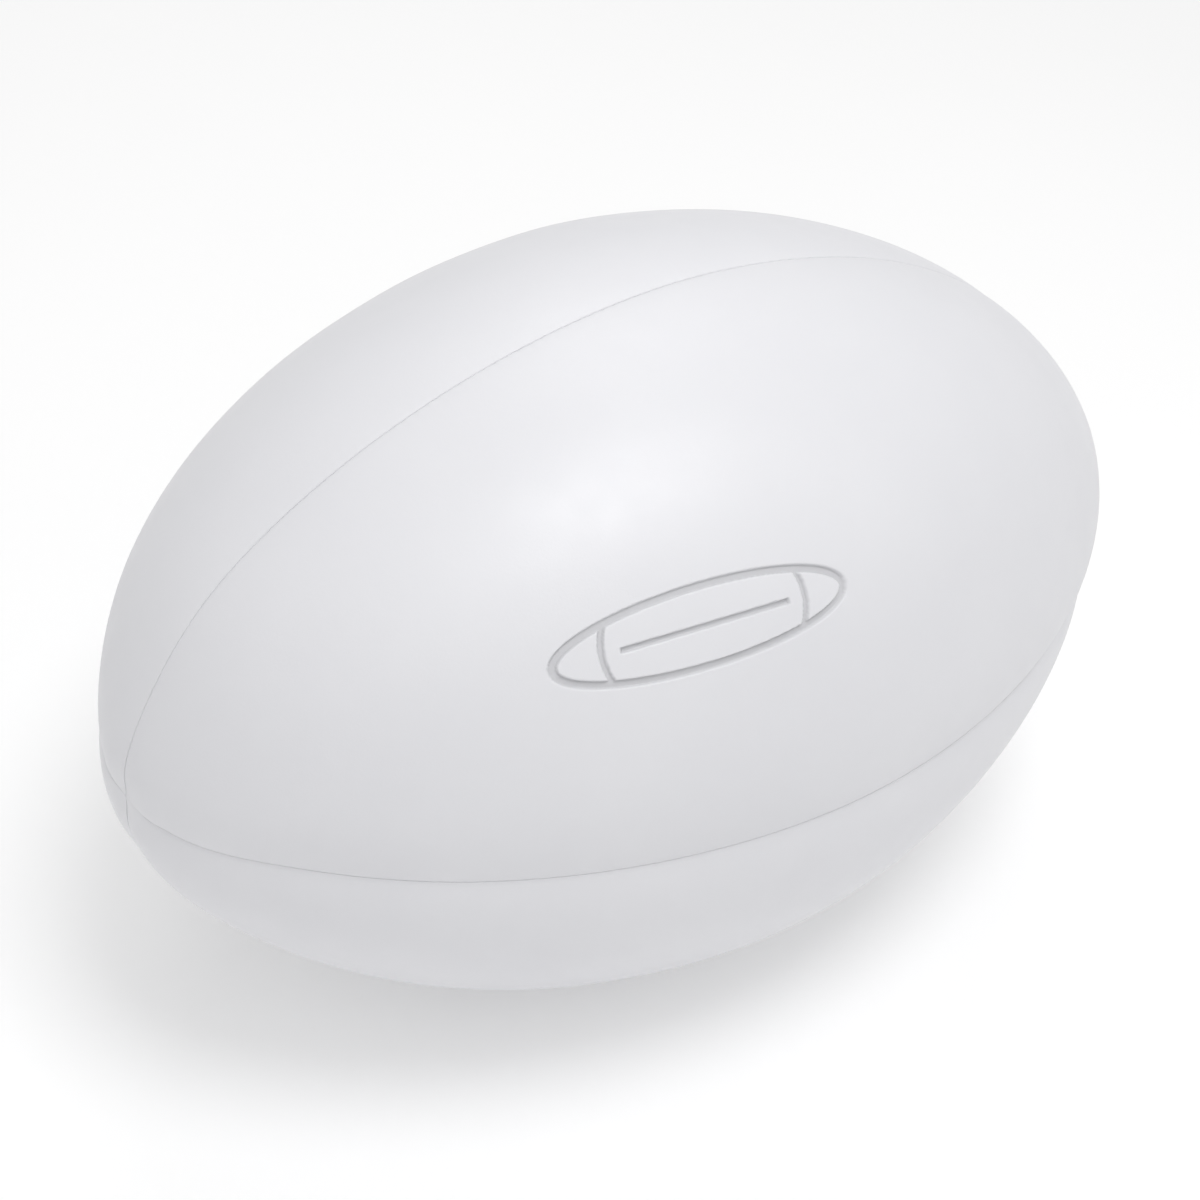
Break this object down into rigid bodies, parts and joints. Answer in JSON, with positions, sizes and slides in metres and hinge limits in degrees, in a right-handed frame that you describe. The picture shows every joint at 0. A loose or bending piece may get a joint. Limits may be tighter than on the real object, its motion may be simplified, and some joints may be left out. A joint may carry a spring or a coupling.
{
  "type": "rugby ball",
  "caption": "Inflated oval ball with stitched rubber-faced panels, cloth plies, bladder and needle valve, for kicking, passing and carrying.",
  "frame": {"origin": "centre of the ball", "axes": "+X along the ball's length; the seams lie in the XY and XZ planes, so one seam is on top (+Z); the valve faces midway between +Y and +Z"},
  "size_m": [0.29, 0.179, 0.179],
  "materials": {
    "cover": "satin",
    "polyester_ply": "matte",
    "cotton_ply": "matte",
    "bladder": "satin",
    "thread": "satin",
    "valve_housing": "satin",
    "valve_plug": "satin",
    "patch": "matte"
  },
  "bodies": {
    "root": {"cover_top_back": "cover", "cover_top_front": "cover", "cover_bottom_front": "cover", "cover_bottom_back": "cover", "outer_ply_top_back": "polyester_ply", "outer_ply_top_front": "polyester_ply", "outer_ply_bottom_front": "polyester_ply", "outer_ply_bottom_back": "polyester_ply", "middle_ply_top_back": "cotton_ply", "middle_ply_top_front": "cotton_ply", "middle_ply_bottom_front": "cotton_ply", "middle_ply_bottom_back": "cotton_ply", "inner_ply_top_back": "polyester_ply", "inner_ply_top_front": "polyester_ply", "inner_ply_bottom_front": "polyester_ply", "inner_ply_bottom_back": "polyester_ply", "bladder": "bladder", "seam_thread_top": "thread", "seam_thread_front": "thread", "seam_thread_bottom": "thread", "seam_thread_back": "thread", "valve_housing": "valve_housing", "valve_plug": "valve_plug", "valve_patch": "patch"}
  },
  "joints": []
}
